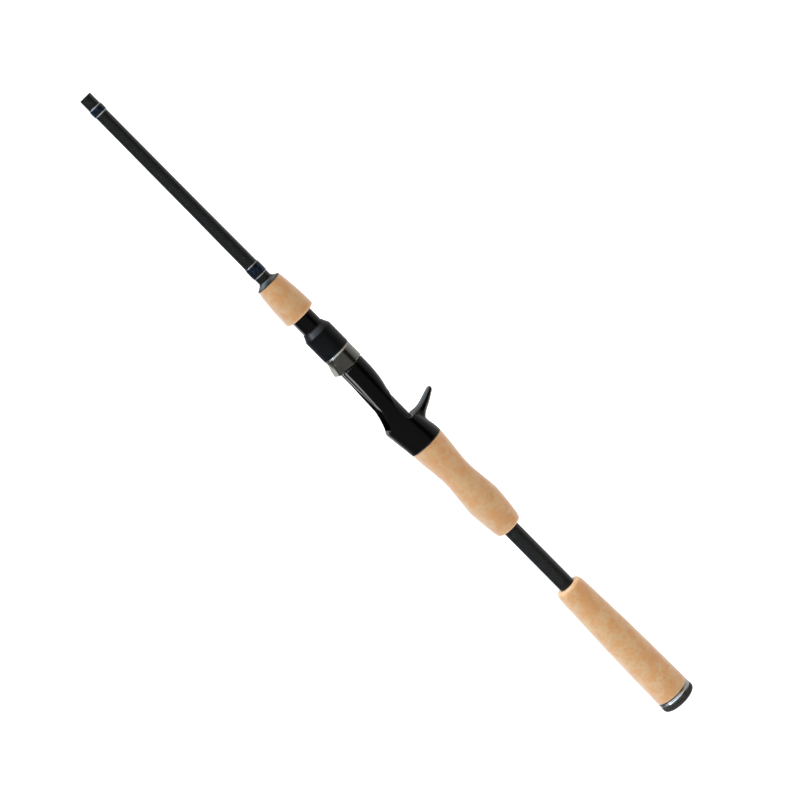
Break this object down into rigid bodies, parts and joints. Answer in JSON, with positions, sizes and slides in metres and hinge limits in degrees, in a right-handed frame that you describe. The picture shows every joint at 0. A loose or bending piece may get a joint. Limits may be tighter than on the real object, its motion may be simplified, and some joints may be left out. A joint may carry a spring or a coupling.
{
  "type": "casting rod handle section",
  "caption": "Cork-handled butt section of a multi-piece casting rod, with an exposed-blank trigger reel seat and a screw-down hood.",
  "frame": {"origin": "middle of the reel seat's flat foot bed, on the bed's surface", "axes": "+X runs along the rod towards the tip end, +Z is the reel side and -Z the trigger side, and Y runs across; the rod's axis lies at z = -6.9 mm"},
  "size_m": [0.5593, 0.0262, 0.0435],
  "materials": {
    "carbon_blank": "satin clear-coated carbon fibre",
    "wrap_thread": "dark navy winding thread under gloss epoxy",
    "trim_thread": "metallic silver thread under gloss epoxy",
    "check_metal": "grey anodised aluminium",
    "cork": "sanded natural cork",
    "seat_plastic": "gloss black moulded nylon",
    "nut_plastic": "satin black soft-touch plastic",
    "hood_metal": "polished gunmetal stainless steel",
    "liner_plastic": "matt black nylon",
    "cushion": "matt black elastomer",
    "spring_steel": "bright spring steel",
    "arbor": "grey rigid foam",
    "ring_metal": "turned bright aluminium",
    "rubber": "matt black moulded rubber"
  },
  "bodies": {
    "handle": {"blank_end_plug": "arbor", "blank_ferrule_end": "carbon_blank", "blank_tube": "carbon_blank", "butt_cap": "rubber", "butt_grip_cork_ring_1": "cork", "butt_grip_cork_ring_2": "cork", "butt_grip_cork_ring_3": "cork", "butt_grip_cork_ring_4": "cork", "butt_grip_cork_ring_5": "cork", "butt_grip_cork_ring_6": "cork", "butt_grip_cork_ring_7": "cork", "butt_grip_cork_ring_8": "cork", "butt_trim_ring": "ring_metal", "ferrule_wrap_band": "wrap_thread", "ferrule_wrap_trim_front": "trim_thread", "ferrule_wrap_trim_rear": "trim_thread", "fixed_hood_pad": "cushion", "foregrip_cork_ring_1": "cork", "foregrip_cork_ring_2": "cork", "grip_wrap_band": "wrap_thread", "grip_wrap_trim_front": "trim_thread", "grip_wrap_trim_rear": "trim_thread", "rear_grip_cork_ring_1": "cork", "rear_grip_cork_ring_2": "cork", "rear_grip_cork_ring_3": "cork", "rear_grip_cork_ring_4": "cork", "rear_grip_cork_ring_5": "cork", "rear_grip_cork_ring_6": "cork", "reel_seat_body": "seat_plastic", "seat_arbor": "arbor", "winding_check": "check_metal"},
    "hood": {"movable_hood": "hood_metal", "hood_liner": "liner_plastic"},
    "nut": {"locking_nut": "nut_plastic", "nut_snap_ring": "spring_steel"}
  },
  "joints": [
    {"name": "hood_slide", "type": "slide", "parent": "handle", "child": "hood", "axis": [1, 0, 0], "range_m": [0, 0.0105]},
    {"name": "nut_spin", "type": "hinge", "parent": "hood", "child": "nut", "pos_m": [0.045, 0, -0.0069], "axis": [1, 0, 0], "range_deg": [0, 2525]}
  ],
  "couplings": [
    {"joint": "nut_spin", "follows": "hood_slide", "rad_per_m": 4188.8}
  ]
}
